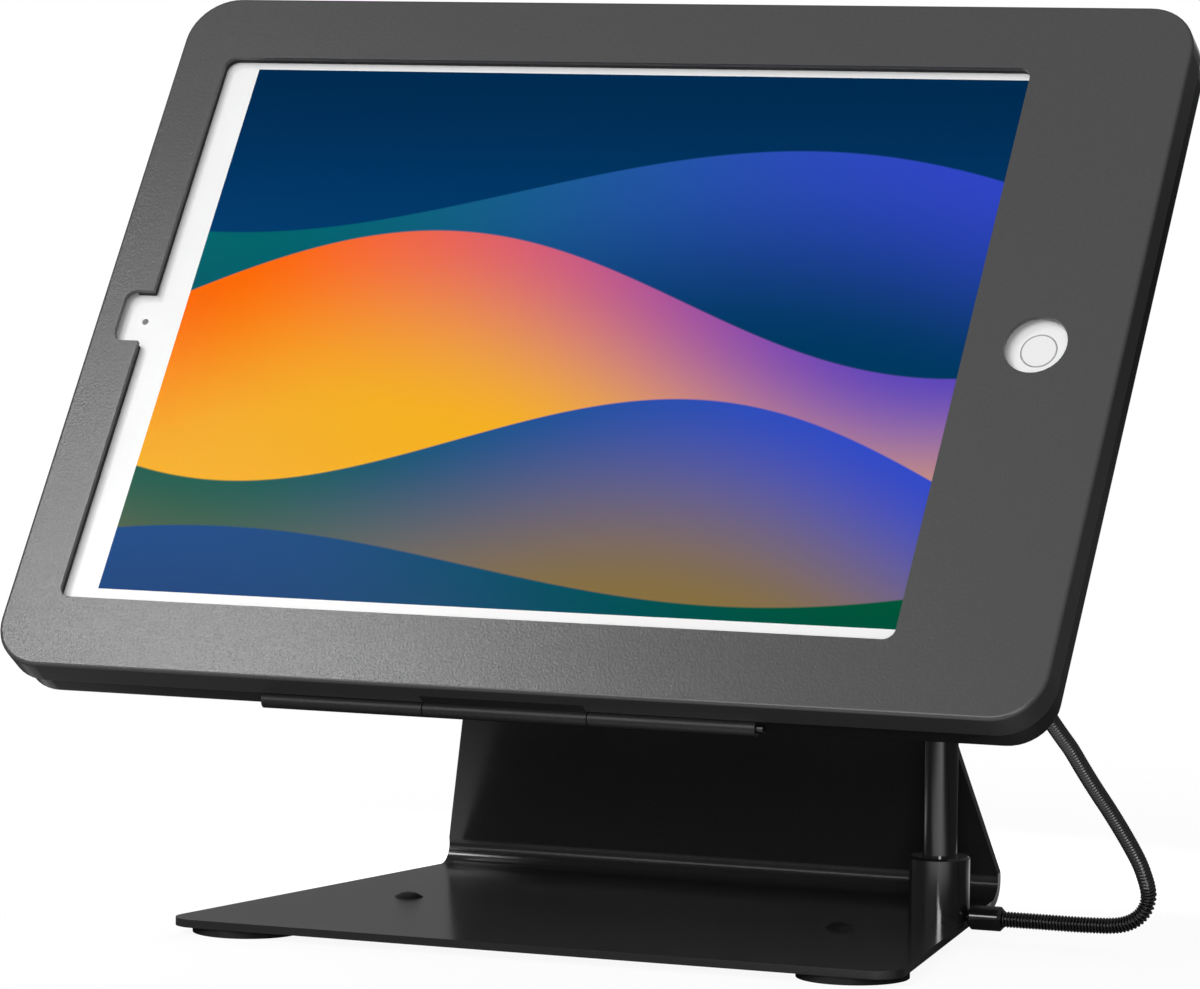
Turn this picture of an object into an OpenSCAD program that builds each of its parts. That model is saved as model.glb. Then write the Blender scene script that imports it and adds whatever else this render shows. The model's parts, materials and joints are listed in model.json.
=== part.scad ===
// Tablet security kiosk stand: a bent-steel bracket carries a locked, hinged enclosure with a tablet in it.
// X runs to the viewer's right, Y away from the viewer and Z up. The feet stand on Z = 0.

/* [Stand bracket] */
// Sheet thickness of the bent bracket
sheet_t = 2; // [1.5:0.25:3]
// Width of the base plate at its front edge
base_front_w = 196; // [180:1:220]
// Width of the base plate at the rear fold
base_rear_w = 155; // [145:1:165]
// Depth of the base plate from its front edge to the rear fold
base_d = 122; // [118:1:135]
// Radius of the base plate's front corners
base_corner_r = 7; // [3:0.5:12]
// Inside radius of both folds
fold_r = 5; // [3:0.5:7]
// Forward lean of the upright from vertical, in degrees
upright_lean = 17; // [12:0.5:20]
// Width of the upright at its top fold, and of the flange below it
flange_w = 79; // [76:1:100]
// Length of the flange down the enclosure's back
flange_l = 78; // [70:1:95]
// Radius of the flange's lower corners
flange_corner_r = 8; // [3:0.5:12]

/* [Feet and plugs] */
// Height of the rubber feet
foot_h = 2; // [1.5:0.25:4]
// Diameter of the rubber feet
foot_d = 27.5; // [20:0.5:30]
// Distance of the front feet's centres inside the base plate's front corners
front_foot_inset = 17; // [14:0.5:30]
// Distance of the rear feet's centres inside the base plate's rear corners
rear_foot_inset = 16.5; // [14:0.5:30]
// Distance of the front feet behind the base plate's front edge
front_foot_setback = 0.3; // [0.1:0.1:5]
// Distance of the rear feet in front of the rear fold
rear_foot_setback = 2; // [0:0.5:10]
// Diameter of the domed plugs in the base plate
plug_d = 7.5; // [6.5:0.25:10]
// Height of the plugs' domes
plug_h = 1.3; // [0.8:0.1:2]
// Distance between the two plugs
plug_gap = 118; // [80:1:130]
// Distance of the plugs behind the base plate's front edge
plug_back = 62; // [40:1:75]

/* [Pose of the enclosure] */
// Slope of the tablet's face from horizontal, in degrees
tilt = 55.5; // [50:0.5:60]
// Height of the tablet face's centre above the base plate
face_rise = 146; // [140:1:160]
// Distance of the base plate's front edge in front of the tablet face's centre
base_lead = 43; // [38:1:50]

/* [Front cover] */
// Width of the front cover
cover_w = 276; // [275:1:290]
// Height of the front cover along its slope
cover_h = 200.3; // [199:0.1:212]
// How far the cover's centre lies below the tablet's centre
cover_drop = 1.95; // [0:0.05:3]
// Radius of the cover's corners in plan
cover_r = 13; // [10:0.5:16]
// Radius of the cover's front edge
cover_edge_r = 0.9; // [0.6:0.1:2.5]
// Depth of the cover from its face to its rim
cover_d = 7.8; // [6.5:0.1:8.5]
// Sheet thickness of the cover
cover_t = 1.2; // [1:0.1:1.6]
// Width of the cover's face left of the screen window
window_left = 13.8; // [13:0.1:20]
// Width of the cover's face right of the screen window
window_right = 40.2; // [39:0.1:50]
// Width of the cover's face above the screen window
window_above = 18.6; // [17:0.1:25]
// Width of the cover's face below the screen window
window_below = 19.7; // [18:0.1:26]
// Radius of the window's corners
window_r = 3; // [1:0.5:5]
// Depth of the camera notch in the window's left edge
notch_d = 7.5; // [5:0.25:8]
// Height of the camera notch
notch_h = 15; // [10:0.5:20]
// Radius of the camera notch's corners
notch_r = 3; // [1:0.25:4]
// Diameter of the hole over the home button
button_hole_d = 16; // [12:0.5:18]

/* [Gasket] */
// Thickness of the foam gasket behind the window's edge
gasket_t = 1.7; // [1:0.1:2]
// Width of the gasket's band
gasket_band = 5; // [3:0.5:6]
// How far the gasket stands back from the window's edge
gasket_setback = 0.3; // [0.1:0.1:1]

/* [Rear shell] */
// Sheet thickness of the rear shell
shell_t = 1.2; // [1:0.1:1.6]
// Outside radius of the rear shell's back edge
shell_edge_r = 1.2; // [1:0.1:2.5]
// How far the rear shell's wall stops below the tablet's face
shell_rim_drop = 0.5; // [0.3:0.1:1.5]
// Thickness of the foam pads behind the tablet
pad_t = 4.4; // [2.8:0.1:5]
// Side of the square foam pads
pad_side = 26; // [16:1:32]

/* [Tablet] */
// Room between the tablet's left end and the cover's left edge
tablet_left_room = 4.5; // [4:0.1:8]
// Room between the tablet's right end and the cover's right edge, where the lock sits
tablet_right_room = 14.5; // [14:0.1:20]
// Room between the tablet's long edges and the cover's edges, on average
tablet_edge_room = 12.15; // [10:0.05:16]
// Thickness of the tablet
tablet_t = 7.8; // [7:0.1:8.5]
// Radius of the tablet's corners
tablet_r = 11; // [8:0.5:14]
// Radius of the tablet's back edge
tablet_edge_r = 2.6; // [1.5:0.1:3]
// Thickness of the tablet's front glass
glass_t = 0.9; // [0.7:0.1:1.2]
// Width of the metal rim that shows round the glass
tablet_rim = 0.6; // [0.4:0.1:1.5]
// Width of the tablet's face beyond each end of the display
display_end = 18; // [15:0.1:22]
// Width of the tablet's face along each side of the display
display_side = 10; // [8:0.1:14]
// Distance of the camera and of the home button inside the tablet's ends
end_inset = 7.9; // [7:0.1:9]
// Diameter of the camera's lens
lens_d = 3; // [2:0.25:4]
// Diameter of the home button
button_d = 9; // [8:0.5:11]
// Thickness of the home button
button_t = 1.8; // [1.6:0.1:2.2]
// Travel of the home button
button_travel = 0.4; // [0.2:0.1:0.6]

/* [Hinge] */
// Length of the hinge
hinge_l = 130; // [110:1:150]
// Outside radius of the hinge's knuckles
knuckle_r = 1.95; // [1.8:0.05:2.2]
// Diameter of the hinge pin
pin_d = 2; // [1.6:0.1:2.4]
// How far the pin stands out of the right-hand knuckle
pin_tail = 1.7; // [0.5:0.1:3]
// Thickness of the rear leaf
leaf_t = 0.9; // [0.7:0.1:1.2]
// Height of the front leaf's tab in the cover's rim
tab_h = 3; // [2:0.25:4]
// Diameter of the rivets through the rear leaf
rivet_d = 1.8; // [1.4:0.1:2]

/* [Cam lock] */
// Place of the lock up the face
lock_v = 60; // [40:1:70]
// Outside diameter of the lock's head
housing_d = 10.5; // [9.5:0.25:10.5]
// Thickness of the lock's head behind the rear shell
housing_l = 1.8; // [1.2:0.1:2.5]
// Diameter of the housing's neck through the rear shell
neck_d = 7; // [6.6:0.1:7.4]
// Diameter of the key plug
key_plug_d = 5; // [4.4:0.1:5.4]
// Diameter of the spindle that turns the cam
spindle_d = 3.4; // [3:0.1:3.8]
// Length of the cam from the spindle's axis
cam_l = 5.2; // [4.6:0.1:5.2]
// Width of the cam
cam_w = 5; // [4.5:0.1:5]
// Thickness of the cam and of the keeper
cam_t = 1.2; // [1:0.1:1.4]

/* [Post and tether] */
// Diameter of the support post
post_d = 8.7; // [8:0.1:10]
// Distance of the post's axis inside the base plate's right edge
post_inset = 8; // [8:0.05:14]
// Distance of the post behind the base plate's front edge
post_back = 88; // [80:1:92]
// Diameter of the collar at the post's foot and of the socket at its head
collar_d = 15.3; // [14:0.1:16]
// Height of the collar
collar_h = 16; // [12:0.5:20]
// Length of post that the head socket grips
socket_grip = 8; // [6:0.5:14]
// Diameter of the tether's lower ferrule
ferrule_d = 6.2; // [5.5:0.1:7]
// Length of the lower ferrule's body
ferrule_l = 8.85; // [6:0.05:8.85]
// Height of the lower ferrule's axis above the base plate
ferrule_rise = 1; // [0.8:0.1:2.4]
// Distance of the tether's gland inside the cover's right edge
gland_inset = 9.5; // [9:0.1:11]
// Distance of the gland above the cover's lower edge
gland_rise = 17.5; // [15:0.1:30]
// Diameter of the gland
gland_d = 8; // [7:0.25:9]
// Length of the gland behind the rear shell
gland_l = 8; // [6:0.5:8]
// Outside diameter of the tether's ribs
tether_d = 4.1; // [3.6:0.1:4.6]
// Number of ribs along the tether
tether_ribs = 200; // [60:10:200]

/* [Fits] */
// Radial clearance of pins, plugs and screws in their holes
pin_fit = 0.05; // [0.02:0.01:0.1]
// Gap between the cover and the shell that slides inside it
shell_gap = 0.3; // [0.3:0.05:0.6]
// Gap between moving pieces that pass each other
pass_gap = 0.3; // [0.2:0.05:0.5]
// Gap between the gasket and the tablet's glass
gasket_gap = 0.2; // [0.1:0.05:0.4]

/* [Hidden] */
$fn = 48;
// Small overshoot of a cutting solid past the face that it opens
cut = 1;
// Number of straight steps in a rounded corner or fold of the bracket
corner_steps = 20;

// Levels along the face's normal, measured out from the tablet's glass
face_lift = cover_t + gasket_t + gasket_gap;
face_inner_n = face_lift - cover_t;
rim_n = face_lift - cover_d;
shell_rim_n = -shell_rim_drop;
back_n = -(tablet_t + pad_t + shell_t);
floor_n = back_n + shell_t;

// Tablet, display and window, all set out from the cover's edges
tablet_w = cover_w - tablet_left_room - tablet_right_room;
tablet_h = cover_h - 2 * tablet_edge_room;
tablet_x = (tablet_left_room - tablet_right_room) / 2;
display_w = tablet_w - 2 * display_end;
display_h = tablet_h - 2 * display_side;
end_reach = tablet_w / 2 - end_inset;
window_w = cover_w - window_left - window_right;
window_h = cover_h - window_above - window_below;
window_x = (window_left - window_right) / 2;
window_v = (window_below - window_above) / 2 - cover_drop;

// Places up the face and across it
cover_bottom = -cover_drop - cover_h / 2;
shell_inset = cover_t + shell_gap;
shell_w = cover_w - 2 * shell_inset;
shell_h = cover_h - 2 * shell_inset;
shell_r = cover_r - shell_inset;
shell_bottom = cover_bottom + shell_inset;
shell_inner_x = shell_w / 2 - shell_t;
shell_inner_bottom = shell_bottom + shell_t;
shell_inner_top = -cover_drop + shell_h / 2 - shell_t;
tablet_right = tablet_x + tablet_w / 2;
tablet_left = tablet_x - tablet_w / 2;
button_x = tablet_x + end_reach;
camera_x = tablet_x - end_reach;
strip_x = (tablet_right + shell_inner_x) / 2;

// The part is centred front to back between the cover's lower edge and the rear fold
lead_y = (cover_bottom + cover_edge_r) * cos(tilt) - (face_lift - cover_edge_r) * sin(tilt) - cover_edge_r;
tail_y = -base_lead + base_d + fold_r + sheet_t;
base_top = foot_h + sheet_t;
face_y = -(lead_y + tail_y) / 2;
face_z = base_top + face_rise;
base_y = face_y - base_lead;

// The bracket's side view: two folds joined by the upright, as [y, z] points
fold_outer_r = fold_r + sheet_t;
fold_low = [base_y + base_d, base_top + fold_r];
face_at = [face_y, face_z];
normal_dir = [-sin(tilt), cos(tilt)];
slope_dir = [cos(tilt), sin(tilt)];
upright_dir = [-sin(upright_lean), cos(upright_lean)];
upright_l = (normal_dir * (face_at - fold_low) + back_n - fold_r - sheet_t) / cos(tilt - upright_lean);
fold_high = fold_low + upright_l * upright_dir;
flange_top_v = (fold_high - face_at) * slope_dir;
flange_bottom_v = flange_top_v - flange_l;

// Half the base plate's width at a distance behind its front edge
function base_half_w(depth) = base_front_w / 2 - depth * (base_front_w - base_rear_w) / 2 / base_d;
ferrule_edge_x = base_half_w(post_back - ferrule_d / 2);

// Domed plugs in the base plate
plug_stem_d = plug_d - 2.4;
plug_lip_h = 0.8;

// The post runs from the base plate's underside to the enclosure's back
post_x = ferrule_edge_x - post_inset;
post_y = base_y + post_back;
post_hole_d = post_d + 2 * pin_fit;
post_head_gap = 1.5;
collar_chamfer = 0.6;
set_screw_d = 4;
set_screw_recess = 0.8;
set_screw_hex = 2.2;
function back_z(y) = face_z + (back_n + sin(tilt) * (y - face_y)) / cos(tilt);
socket_bottom = back_z(post_y - collar_d / 2) - socket_grip;
post_top = back_z(post_y - post_d / 2) - post_head_gap;

// Screws between the flange and the rear shell
screw_gap_x = 50;
screw_gap_v = 44;
screw_v = flange_top_v - flange_l / 2;
screw_d = 4;
screw_head_d = 7.6;
screw_head_h = 2.4;
screw_hex = 3;
screw_fit = 0.2;
screw_hole_d = screw_d + 2 * screw_fit;
nut_d = 7;
nut_h = 1.8;

// Hinge axis, just under the cover's rim and clear of the rear shell's wall
hinge_v = shell_bottom - pass_gap - knuckle_r;
hinge_n = rim_n - pass_gap - knuckle_r;
knuckle_gap = pass_gap;
knuckle_l = (hinge_l - 2 * knuckle_gap) / 3;
pin_hole_d = pin_d + 2 * pin_fit;
leaf_low_n = back_n + shell_edge_r;
leaf_mid_n = hinge_n - knuckle_r - pass_gap;
rivet_head_d = rivet_d * 1.7;
rivet_head_h = 0.8;
rivet_n = floor_n + rivet_head_d / 2 + pass_gap;
rivet_shares = [0.25, 0.65];

// Lock: the cam turns beside the tablet, below the cover's rim, and passes over the keeper's lip
cam_n = rim_n - 2 * pass_gap - cam_t;
lip_n = cam_n - pass_gap - cam_t;
lip_v = lock_v + cam_w / 2 + 2 * pass_gap;
keeper_leg_v = lock_v + cam_l + pass_gap;
keeper_w = 6;
keeper_foot_l = 6;
lock_nut_h = 2;
lock_nut_d = 10.4;
neck_l = lip_n - pass_gap - back_n;
lock_shoulder_t = 1.5;
key_slot = [0.9, 3.4, 3.5];
cam_screw_d = 2;
cam_screw_head_d = 3.6;
cam_screw_head_h = 1;
cam_screw_l = 4;

// Home button under the tablet's glass
button_gap = 0.15;
button_flange_d = button_d + 1.4;

// Tether's ferrule at the base plate and its gland on the enclosure's back
ferrule_neck_gap = 0.2;
ferrule_neck_d = 2 * (ferrule_rise - ferrule_neck_gap);
ferrule_neck_in = 2.4;
gland_x = cover_w / 2 - gland_inset;
gland_v = cover_bottom + gland_rise;
gland_cone_l = gland_l / 3;
gland_tip_d = 6;
gland_neck_d = 5.4;
gland_nut_d = 7.8;
gland_nut_h = 2;

// Tether route, from the ferrule's end face to the gland's end face
tether_points = [
    [92.9, 32, 5], [97, 32, 5], [102, 32, 5], [107, 32, 5], [112, 32, 5], [117, 32, 5.1], [121.4, 32, 5.3],
    [125, 32, 6], [128, 32, 7.6], [130, 32, 10], [130.9, 31.8, 13], [131, 30.7, 15.5], [131, 28.8, 17.9],
    [130.8, 25.3, 21.8], [130.5, 20.2, 26.1], [130.2, 12, 32], [129.8, 3.3, 38], [129.5, -6, 43.9],
    [129.2, -14.7, 49.7], [129, -23.3, 55.5], [128.7, -30, 59.6], [128.5, -36.4, 63.5], [128.5, -39.8, 65.8],
    [128.5, -43.2, 68.1]
];
tether_sides = 8;
tether_rib_depth = 0.3;
tether_valley_r = tether_d / 2 - tether_rib_depth;
tether_bore_r = 1.2;
tether_bore_step = 6;
spline_steps = 6;

// Pads and stops round the tablet stand on the rear shell's floor
pad_r = pad_side / 8;
stop_top_n = -2.5;
stop_l = 30;
stop_side_t = 2.5;
stop_reach_x = 95;
stop_reach_v = 32;

function arc(centre, r, from, to) =
    [for (i = [0 : corner_steps]) let (a = from + (to - from) * i / corner_steps) centre + r * [cos(a), sin(a)]];

// Places children on the tablet's face: x to the right, y up the slope, z out of the glass
module on_face() {
    translate([0, face_y, face_z])
        rotate([tilt, 0, 0])
            children();
}

// Turns a drawing of the side view, with y across and z up, into a solid that runs along x
module side_view() {
    rotate([90, 0, 90])
        children();
}

module rounded_rect(w, h, r) {
    square([w - 2 * r, h], center = true);
    square([w, h - 2 * r], center = true);
    for (sx = [-1, 1], sy = [-1, 1])
        translate([sx * (w / 2 - r), sy * (h / 2 - r)])
            circle(r);
}

// Carries a profile, drawn outwards from the corner centres, round a rounded rectangle
module around(w, h, r) {
    for (i = [0 : 3]) {
        half = i % 2 == 0 ? [w / 2 - r, h / 2 - r] : [h / 2 - r, w / 2 - r];
        rotate([0, 0, 90 * i])
            translate([half.x, half.y, 0]) {
                rotate_extrude(angle = 90)
                    children();
                rotate([90, 0, 0])
                    linear_extrude(2 * half.y)
                        children();
            }
    }
}

// Half section of a plate's edge, rounded at its upper outer corner
module soft_edge(r, t, edge) {
    square([r - edge, t]);
    square([r, t - edge]);
    translate([r - edge, t - edge])
        circle(edge);
}

// Open tray with its floor at the top: the edge profile goes round and a plain plate fills the middle
module tray(w, h, r, depth, t, edge) {
    around(w, h, r)
        difference() {
            soft_edge(r, depth, edge);
            translate([-cut, -cut])
                square([r - t + cut, depth - t + cut]);
        }
    translate([-(w / 2 - r), -(h / 2 - r), depth - t])
        cube([w - 2 * r, h - 2 * r, t]);
}

module hex_nut(d, h, hole_d) {
    difference() {
        cylinder(d = d, h = h, $fn = 6);
        translate([0, 0, -cut])
            cylinder(d = hole_d, h = h + 2 * cut);
    }
}

// Low dome of a given base diameter and rise, standing on z = 0
module dome(d, h) {
    ball_r = (d * d / 4 + h * h) / (2 * h);
    intersection() {
        translate([0, 0, h - ball_r])
            sphere(ball_r);
        cylinder(d = 2 * d, h = 2 * h);
    }
}

// Plan of the base plate with rounded front corners; it runs on past the low fold
module base_outline() {
    side_slope = atan((base_front_w - base_rear_w) / 2 / base_d);
    corner_x = base_front_w / 2 - base_corner_r * (1 + sin(side_slope)) / cos(side_slope);
    rear_end = base_d + 2 * fold_outer_r;
    right_front = arc([corner_x, base_corner_r], base_corner_r, -90, side_slope);
    left_front = arc([-corner_x, base_corner_r], base_corner_r, 180 - side_slope, 270);
    right_rear = [[base_rear_w / 2, base_d], [base_rear_w / 2, rear_end]];
    left_rear = [[-base_rear_w / 2, rear_end], [-base_rear_w / 2, base_d]];
    polygon(concat(left_front, right_front, right_rear, left_rear));
}

module flange_outline() {
    translate([-flange_w / 2, flange_bottom_v + flange_corner_r])
        square([flange_w, flange_l - flange_corner_r]);
    translate([-flange_w / 2 + flange_corner_r, flange_bottom_v])
        square([flange_w - 2 * flange_corner_r, flange_l]);
    for (sx = [-1, 1])
        translate([sx * (flange_w / 2 - flange_corner_r), flange_bottom_v + flange_corner_r])
            circle(flange_corner_r);
}

// Side view of the bent sheet: out along its outer face and back along its inner face
module bracket_profile() {
    flange_end = fold_high - flange_l * slope_dir;
    flange_turn = 90 + tilt;
    polygon(concat(
        [[base_y, foot_h]],
        arc(fold_low, fold_outer_r, -90, upright_lean),
        arc(fold_high, fold_outer_r, upright_lean, flange_turn),
        [flange_end + fold_outer_r * normal_dir, flange_end + fold_r * normal_dir],
        arc(fold_high, fold_r, flange_turn, upright_lean),
        arc(fold_low, fold_r, upright_lean, -90),
        [[base_y, base_top]]
    ));
}

module screw_places() {
    for (sx = [-1, 1], sv = [-1, 1])
        translate([sx * screw_gap_x / 2, screw_v + sv * screw_gap_v / 2, 0])
            children();
}

module plug_places() {
    for (sx = [-1, 1])
        translate([sx * plug_gap / 2, base_y + plug_back, base_top])
            children();
}

// What the blank loses beside the base plate and the low fold
module base_trim() {
    trim_top = fold_low.y + fold_outer_r * sin(upright_lean);
    translate([0, base_y, foot_h - cut])
        linear_extrude(trim_top - foot_h + cut)
            difference() {
                translate([-base_front_w, -cut])
                    square([2 * base_front_w, base_d + fold_outer_r + 2 * cut]);
                base_outline();
            }
}

// What the blank loses beside the tapering upright and the high fold
module upright_trim() {
    taper = (base_rear_w - flange_w) / 2 / upright_l;
    trim_l = upright_l + fold_outer_r + cut;
    translate([0, fold_low.x, fold_low.y])
        rotate([upright_lean, 0, 0])
            translate([0, fold_outer_r + cut, 0])
                rotate([90, 0, 0])
                    linear_extrude(2 * (fold_outer_r + cut))
                        for (side = [0, 1])
                            mirror([side, 0])
                                polygon([
                                    [base_rear_w / 2 + taper * cut, -cut], [base_front_w, -cut],
                                    [base_front_w, trim_l], [flange_w / 2, trim_l], [flange_w / 2, upright_l]
                                ]);
}

// What the blank loses round the flange
module flange_trim() {
    on_face()
        translate([0, 0, back_n - sheet_t - cut])
            linear_extrude(sheet_t + 2 * cut)
                difference() {
                    translate([-base_front_w, flange_bottom_v - cut])
                        square([2 * base_front_w, flange_l + cut]);
                    flange_outline();
                }
}

// One bent sheet: base plate, low fold, tapering upright, high fold and the flange behind the enclosure
module stand_bracket() {
    color("#1c1c1e")
        difference() {
            translate([-base_front_w / 2, 0, 0])
                side_view()
                    linear_extrude(base_front_w)
                        bracket_profile();
            base_trim();
            upright_trim();
            flange_trim();
            translate([post_x, post_y, foot_h - cut])
                cylinder(d = post_hole_d, h = sheet_t + 2 * cut);
            plug_places()
                translate([0, 0, -sheet_t - cut])
                    cylinder(d = plug_stem_d + 2 * pin_fit, h = sheet_t + 2 * cut);
            on_face()
                screw_places()
                    translate([0, 0, back_n - sheet_t - cut])
                        cylinder(d = screw_hole_d, h = sheet_t + 2 * cut);
        }
}

module rubber_feet() {
    front = [base_front_w / 2 - front_foot_inset, base_y + front_foot_setback + foot_d / 2];
    rear = [base_rear_w / 2 - rear_foot_inset, base_y + base_d - rear_foot_setback - foot_d / 2];
    color("#101010")
        for (sx = [-1, 1], place = [front, rear])
            translate([sx * place.x, place.y, 0])
                cylinder(d = foot_d, h = foot_h);
}

module anchor_hole_plugs() {
    color("#161616")
        plug_places() {
            dome(plug_d, plug_h);
            translate([0, 0, -sheet_t])
                cylinder(d = plug_stem_d, h = sheet_t);
            translate([0, 0, -sheet_t - plug_lip_h])
                cylinder(d1 = plug_stem_d, d2 = plug_stem_d + plug_lip_h, h = plug_lip_h);
        }
}

module support_post() {
    color("#1a1a1a")
        translate([post_x, post_y, foot_h])
            cylinder(d = post_d, h = post_top - foot_h);
}

// Ring on the post's foot, with a blind hole for the ferrule's neck and a tapped hole at the back
module post_collar() {
    color("#18181a")
        translate([post_x, post_y, base_top])
            difference() {
                rotate_extrude()
                    polygon([
                        [post_hole_d / 2, 0], [collar_d / 2, 0], [collar_d / 2, collar_h - collar_chamfer],
                        [collar_d / 2 - collar_chamfer, collar_h], [post_hole_d / 2, collar_h]
                    ]);
                translate([collar_d / 2 - ferrule_neck_in, 0, ferrule_rise])
                    rotate([0, 90, 0])
                        cylinder(d = ferrule_neck_d + 2 * pin_fit, h = ferrule_neck_in + cut);
                translate([0, 0, collar_h / 2])
                    rotate([-90, 0, 0])
                        cylinder(d = set_screw_d + 2 * pin_fit, h = collar_d);
            }
}

module collar_set_screw() {
    screw_from = post_d / 2 + pin_fit;
    screw_l = collar_d / 2 - screw_from - set_screw_recess;
    color("#2a2a2c")
        translate([post_x, post_y + screw_from, base_top + collar_h / 2])
            rotate([-90, 0, 0])
                difference() {
                    cylinder(d = set_screw_d, h = screw_l);
                    translate([0, 0, screw_l / 2])
                        cylinder(d = set_screw_hex, h = screw_l, $fn = 6);
                }
}

// Socket on the enclosure's back that takes the post's head, cut to the enclosure's slope
module post_socket() {
    socket_l = back_z(post_y + collar_d / 2) - socket_bottom;
    color("#18181a")
        difference() {
            translate([post_x, post_y, socket_bottom])
                cylinder(d = collar_d, h = socket_l);
            translate([post_x, post_y, socket_bottom - cut])
                cylinder(d = post_hole_d, h = post_top - socket_bottom + cut + pin_fit);
            on_face()
                translate([-cover_w, -cover_h, back_n])
                    cube([2 * cover_w, 2 * cover_h, cover_h]);
        }
}

// Turned ferrule beside the base plate's edge; its neck passes over the plate into the collar
module lower_ferrule() {
    neck_from = post_x + collar_d / 2 - ferrule_neck_in;
    body_from = ferrule_edge_x + pass_gap;
    neck_l = body_from - neck_from;
    chamfer = ferrule_d / 8;
    color("#1c1c1e")
        translate([neck_from, post_y, base_top + ferrule_rise])
            rotate([0, 90, 0])
                rotate_extrude()
                    polygon([
                        [0, 0], [ferrule_neck_d / 2, 0], [ferrule_neck_d / 2, neck_l],
                        [ferrule_d / 2 - chamfer, neck_l], [ferrule_d / 2, neck_l + chamfer],
                        [ferrule_d / 2, neck_l + ferrule_l - chamfer],
                        [ferrule_d / 2 - chamfer, neck_l + ferrule_l], [0, neck_l + ferrule_l]
                    ]);
}

// Smooth curve through the tether's points, then even stations along it
function through(a, b, c, d, t) =
    0.5 * (2 * b + (c - a) * t + (2 * a - 5 * b + 4 * c - d) * t * t + (3 * b - a - 3 * c + d) * t * t * t);
last_point = len(tether_points) - 1;
function point_at(i) = tether_points[min(max(i, 0), last_point)];
tether_line = concat(
    [for (i = [0 : last_point - 1], k = [0 : spline_steps - 1])
        through(point_at(i - 1), point_at(i), point_at(i + 1), point_at(i + 2), k / spline_steps)],
    [tether_points[last_point]]
);
function run_lengths(i, sum) =
    i == len(tether_line) - 1 ? [sum]
    : concat([sum], run_lengths(i + 1, sum + norm(tether_line[i + 1] - tether_line[i])));
tether_runs = run_lengths(0, 0);
tether_l = tether_runs[len(tether_runs) - 1];
function along(s, axis) = lookup(s, [for (i = [0 : len(tether_line) - 1]) [tether_runs[i], tether_line[i][axis]]]);
function tether_at(s) = [along(s, 0), along(s, 1), along(s, 2)];
function unit(v) = v / norm(v);

// Direction of the tether at a station; both ends run square to the faces that they meet
tether_look = tether_d / 8;
function tether_dir(s) =
    unit(tether_at(min(s + tether_look, tether_l)) - tether_at(max(s - tether_look, 0)));
function tether_ring(s, r) =
    let (
        dir = tether_dir(s),
        side = unit(cross(dir, [0, slope_dir.x, slope_dir.y])),
        up = cross(side, dir)
    )
    [for (k = [0 : tether_sides - 1])
        let (a = 360 * k / tether_sides) tether_at(s) + r * (cos(a) * side + sin(a) * up)];

// Two triangles for each side of the band between ring i and ring j
function band(i, j) =
    [for (k = [0 : tether_sides - 1])
        let (n = (k + 1) % tether_sides, a = i * tether_sides, b = j * tether_sides)
        each [[a + k, b + n, a + n], [a + k, b + k, b + n]]];

// Ribbed hose with a bore: crest and valley rings outside, plain rings inside
module tether_conduit() {
    outer_count = 2 * tether_ribs + 1;
    inner_count = floor(outer_count / tether_bore_step) + 1;
    outer = [for (i = [0 : outer_count - 1])
        each tether_ring(tether_l * i / (outer_count - 1), i % 2 == 0 ? tether_valley_r : tether_d / 2)];
    inner = [for (i = [0 : inner_count - 1])
        each tether_ring(tether_l * (1 - i / (inner_count - 1)), tether_bore_r)];
    ring_count = outer_count + inner_count;
    color("#151516")
        polyhedron(
            points = concat(outer, inner),
            faces = [for (i = [0 : ring_count - 1]) each band(i, (i + 1) % ring_count)],
            convexity = 10
        );
}

// Turned gland on the enclosure's back, with a neck through the sheet
module upper_gland() {
    on_face()
        translate([gland_x, gland_v, back_n - gland_l])
            color("#1c1c1e")
                rotate_extrude()
                    polygon([
                        [0, 0], [gland_tip_d / 2, 0], [gland_d / 2, gland_cone_l], [gland_d / 2, gland_l],
                        [gland_neck_d / 2, gland_l], [gland_neck_d / 2, gland_l + shell_t + gland_nut_h],
                        [0, gland_l + shell_t + gland_nut_h]
                    ]);
}

module gland_nut() {
    on_face()
        translate([gland_x, gland_v, floor_n])
            color("#8a8a8c")
                hex_nut(gland_nut_d, gland_nut_h, gland_neck_d + 2 * pin_fit);
}

module rivet_places() {
    for (sx = [-1, 1], share = rivet_shares)
        translate([sx * (knuckle_l * (0.5 + share) + knuckle_gap), 0, rivet_n])
            children();
}

// Tray behind the tablet, with holes for the flange screws, the lock, the gland and the hinge rivets
module rear_shell() {
    depth = shell_rim_n - back_n;
    color("#1b1b1d")
        on_face()
            difference() {
                translate([0, -cover_drop, shell_rim_n])
                    mirror([0, 0, 1])
                        tray(shell_w, shell_h, shell_r, depth, shell_t, shell_edge_r);
                screw_places()
                    translate([0, 0, back_n - cut])
                        cylinder(d = screw_hole_d, h = shell_t + 2 * cut);
                translate([strip_x, lock_v, back_n - cut])
                    cylinder(d = neck_d + 2 * pin_fit, h = shell_t + 2 * cut);
                translate([gland_x, gland_v, back_n - cut])
                    cylinder(d = gland_neck_d + 2 * pin_fit, h = shell_t + 2 * cut);
                rivet_places()
                    translate([0, shell_bottom - cut, 0])
                        rotate([-90, 0, 0])
                            cylinder(d = rivet_d + 2 * pin_fit, h = shell_t + 2 * cut);
            }
}

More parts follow.
